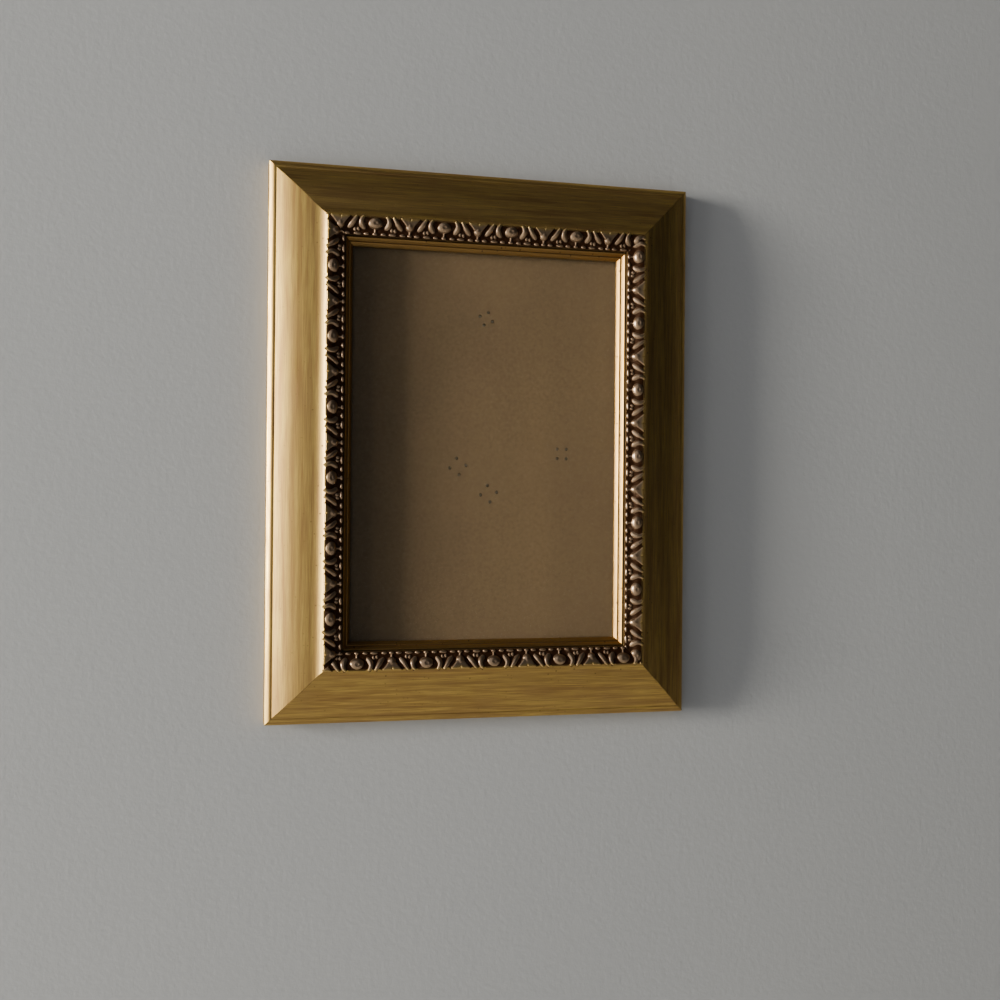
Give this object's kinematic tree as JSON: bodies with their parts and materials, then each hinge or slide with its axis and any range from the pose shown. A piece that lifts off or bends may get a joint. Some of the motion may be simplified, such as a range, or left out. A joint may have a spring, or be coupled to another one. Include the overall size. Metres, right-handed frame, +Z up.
{
  "type": "picture frame",
  "caption": "Gilded picture frame with a sloped moulding and a carved inner band, glazed, with a hardboard back, easel strut, hanging rings and turn buttons.",
  "frame": {"origin": "centre of the bottom edge's flat side face, on which the frame stands", "axes": "+Z up with the picture upright, +X to the right as seen from the front, +Y from the front towards the wall"},
  "size_m": [0.188, 0.0182, 0.238],
  "materials": {
    "gilt_wood": "gilded, brushed along the rail, thin antique wash",
    "gilt_ornament": "cast composition, bronzed with a dark wash in the recesses",
    "clear_glass": "clear float glass",
    "brown_hardboard": "bare brown fibreboard, matt",
    "zinc_steel": "thin zinc plate, satin",
    "brassed_steel": "thin brass plate, satin"
  },
  "bodies": {
    "frame": {"rail_top": "gilt_wood", "rail_bottom": "gilt_wood", "rail_left": "gilt_wood", "rail_right": "gilt_wood", "ornament_top": "gilt_ornament", "ornament_bottom": "gilt_ornament", "ornament_left": "gilt_ornament", "ornament_right": "gilt_ornament", "glass": "clear_glass", "backboard": "brown_hardboard", "corner_nails": "zinc_steel", "hinge_board_leaf": "zinc_steel", "hinge_pin": "zinc_steel", "board_rivets": "zinc_steel", "hanger_upright": "brassed_steel", "hanger_sideways": "brassed_steel", "button_screws": "brassed_steel"},
    "strut": {"strut": "brown_hardboard", "hinge_strut_leaf": "zinc_steel", "strut_rivets": "zinc_steel"},
    "ring_upright": {"ring_upright": "brassed_steel"},
    "ring_sideways": {"ring_sideways": "brassed_steel"},
    "button_top": {"button_top": "brassed_steel"},
    "button_bottom": {"button_bottom": "brassed_steel"},
    "button_left_upper": {"button_left_upper": "brassed_steel"},
    "button_left_lower": {"button_left_lower": "brassed_steel"},
    "button_right_upper": {"button_right_upper": "brassed_steel"},
    "button_right_lower": {"button_right_lower": "brassed_steel"}
  },
  "joints": [
    {"name": "strut_hinge", "type": "hinge", "parent": "frame", "child": "strut", "pos_m": [-0.01035, 0.0003, 0.09818], "axis": [0.7653, 0, -0.6437], "range_deg": [0, 32]},
    {"name": "ring_upright_swing", "type": "hinge", "parent": "frame", "child": "ring_upright", "pos_m": [0, -0.0002, 0.183], "axis": [-1, 0, 0], "range_deg": [0, 160]},
    {"name": "ring_sideways_swing", "type": "hinge", "parent": "frame", "child": "ring_sideways", "pos_m": [0.043, -0.0002, 0.1165], "axis": [0, 0, 1], "range_deg": [0, 160]},
    {"name": "button_top_turn", "type": "hinge", "parent": "frame", "child": "button_top", "pos_m": [0, -0.001, 0.2165], "axis": [0, 1, 0], "continuous": true},
    {"name": "button_bottom_turn", "type": "hinge", "parent": "frame", "child": "button_bottom", "pos_m": [0, -0.001, 0.0215], "axis": [0, 1, 0], "continuous": true},
    {"name": "button_left_upper_turn", "type": "hinge", "parent": "frame", "child": "button_left_upper", "pos_m": [-0.0725, -0.001, 0.161], "axis": [0, 1, 0], "continuous": true},
    {"name": "button_left_lower_turn", "type": "hinge", "parent": "frame", "child": "button_left_lower", "pos_m": [-0.0725, -0.001, 0.077], "axis": [0, 1, 0], "continuous": true},
    {"name": "button_right_upper_turn", "type": "hinge", "parent": "frame", "child": "button_right_upper", "pos_m": [0.0725, -0.001, 0.161], "axis": [0, 1, 0], "continuous": true},
    {"name": "button_right_lower_turn", "type": "hinge", "parent": "frame", "child": "button_right_lower", "pos_m": [0.0725, -0.001, 0.077], "axis": [0, 1, 0], "continuous": true}
  ]
}
